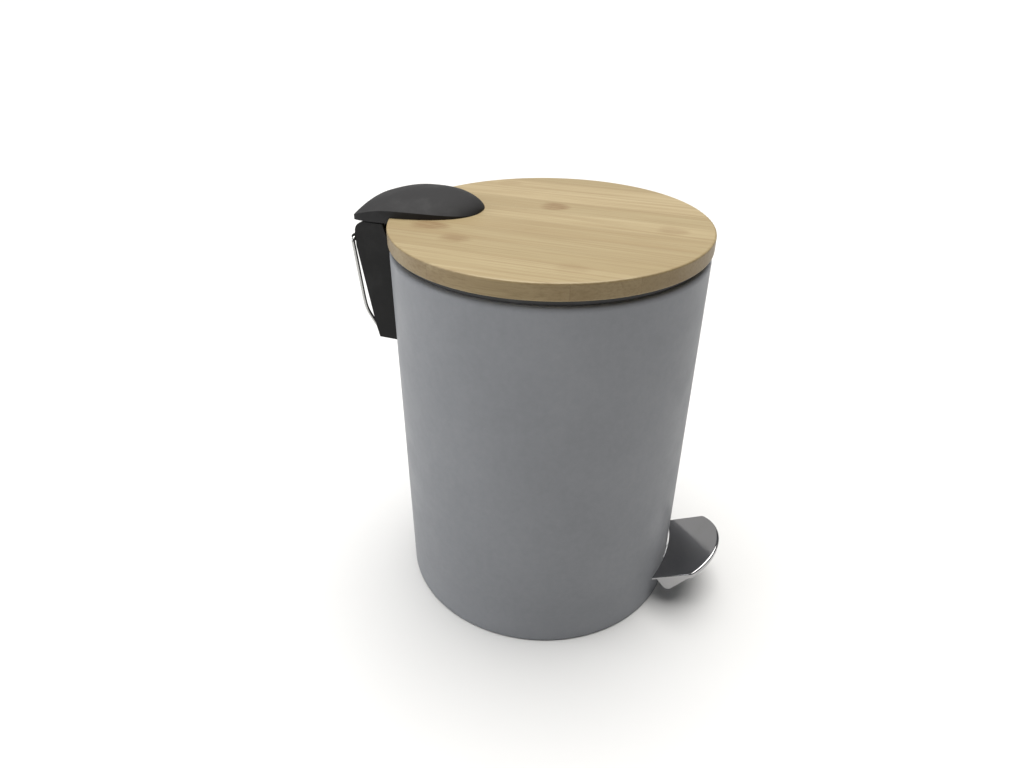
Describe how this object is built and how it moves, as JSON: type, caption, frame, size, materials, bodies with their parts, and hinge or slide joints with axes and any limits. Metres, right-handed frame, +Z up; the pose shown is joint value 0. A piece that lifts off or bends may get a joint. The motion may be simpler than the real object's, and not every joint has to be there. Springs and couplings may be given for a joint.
{
  "type": "pedal trash can",
  "caption": "Small round pedal bin: coated steel can, wooden lid on a rear hinge lifted by a pedal, lift-out inner bucket and wire carry handle.",
  "frame": {"origin": "on the floor, under the centre of the round can", "axes": "+Z up along the can's axis, +Y towards the lid hinge and carry handle, -Y towards the pedal, +X to the side"},
  "size_m": [0.171, 0.2251, 0.237],
  "materials": {
    "can_coating": "satin powder coat",
    "black_plastic": "matte moulded",
    "rubber": "soft matte",
    "bright_steel": "bright drawn wire",
    "bamboo": "clear-lacquered bamboo",
    "polished_steel": "polished stainless steel"
  },
  "bodies": {
    "bin": {"can_shell": "can_coating", "base_plate": "black_plastic", "anti_slip_ring": "rubber", "inner_bucket": "black_plastic", "bucket_bail": "bright_steel", "hinge_housing": "black_plastic", "hinge_pin": "bright_steel", "backing_plate": "bright_steel", "rod_guide": "black_plastic", "housing_screws": "bright_steel", "pivot_bracket": "bright_steel", "bracket_screws": "bright_steel", "pedal_axle": "bright_steel", "axle_clips": "bright_steel"},
    "lid": {"lid_board": "bamboo", "lid_bracket": "black_plastic", "hinge_cap": "black_plastic", "lid_screws": "bright_steel", "lid_bumpers": "rubber"},
    "pedal": {"pedal_plate": "polished_steel", "pedal_lever": "bright_steel"},
    "rod": {"lift_rod": "bright_steel", "rod_clips": "bright_steel"},
    "handle": {"carry_handle": "bright_steel"}
  },
  "joints": [
    {"name": "lid_hinge", "type": "hinge", "parent": "bin", "child": "lid", "pos_m": [0, 0.0965, 0.217], "axis": [-1, 0, 0], "range_deg": [0, 70]},
    {"name": "pedal_pivot", "type": "hinge", "parent": "bin", "child": "pedal", "pos_m": [0, -0.06, 0.014], "axis": [1, 0, 0], "range_deg": [0, 9.74]},
    {"name": "rod_slide", "type": "slide", "parent": "bin", "child": "rod", "axis": [0, 0, 1], "range_m": [0, 0.02381]},
    {"name": "handle_swing", "type": "hinge", "parent": "bin", "child": "handle", "pos_m": [0, 0.107, 0.2113], "axis": [1, 0, 0], "range_deg": [0, 90]}
  ],
  "couplings": [
    {"joint": "pedal_pivot", "follows": "lid_hinge", "ratio": 0.1391},
    {"joint": "rod_slide", "follows": "lid_hinge", "m_per_rad": 0.019486}
  ]
}
